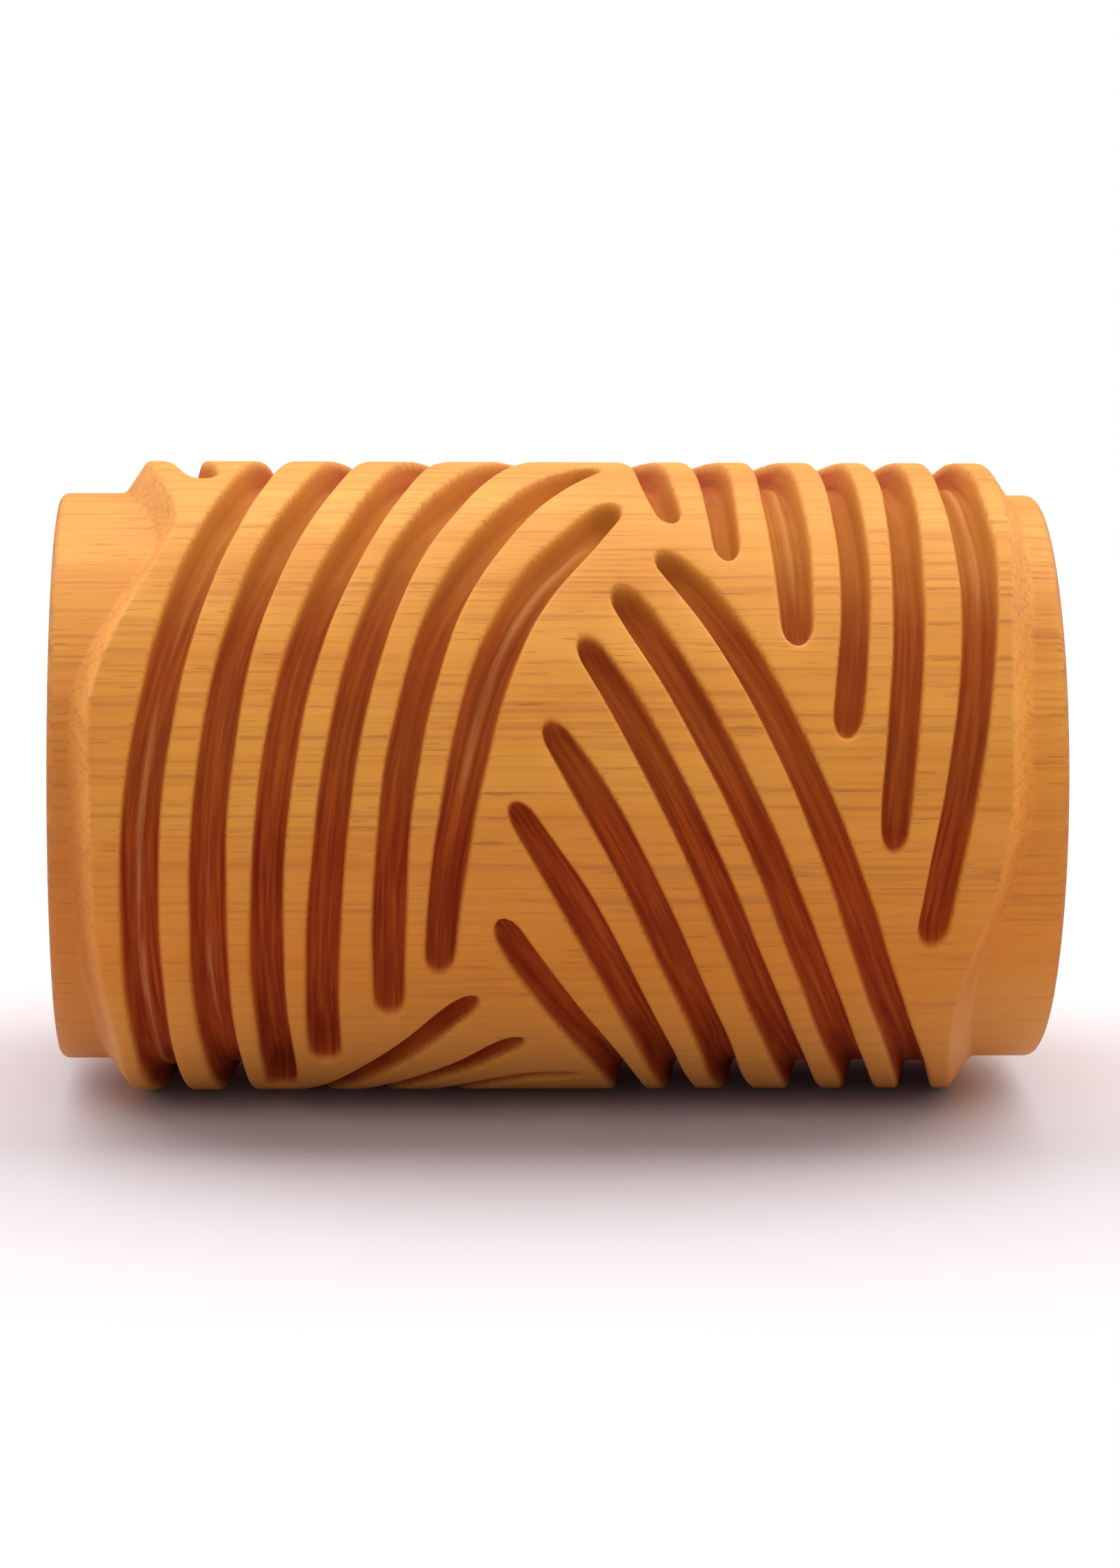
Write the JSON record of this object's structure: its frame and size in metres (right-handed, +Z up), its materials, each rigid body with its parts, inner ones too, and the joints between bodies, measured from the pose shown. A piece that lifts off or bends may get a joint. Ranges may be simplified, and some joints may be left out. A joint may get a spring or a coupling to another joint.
{
  "type": "clay texture roller",
  "caption": "Thick turned hardwood roller with deep hand-carved wavy grooves round its side, for pressing a texture into clay.",
  "frame": {"origin": "middle of the roller's axis, halfway between its end faces", "axes": "+X along the roller's axis, to the right of the pictured side; -Y out of the pictured side; +Z up as the roller lies"},
  "size_m": [0.088, 0.0568, 0.0568],
  "materials": {
    "hardwood": "oiled satin, with darker scorched grooves"
  },
  "bodies": {
    "root": {"carved_roller": "hardwood"}
  },
  "joints": []
}
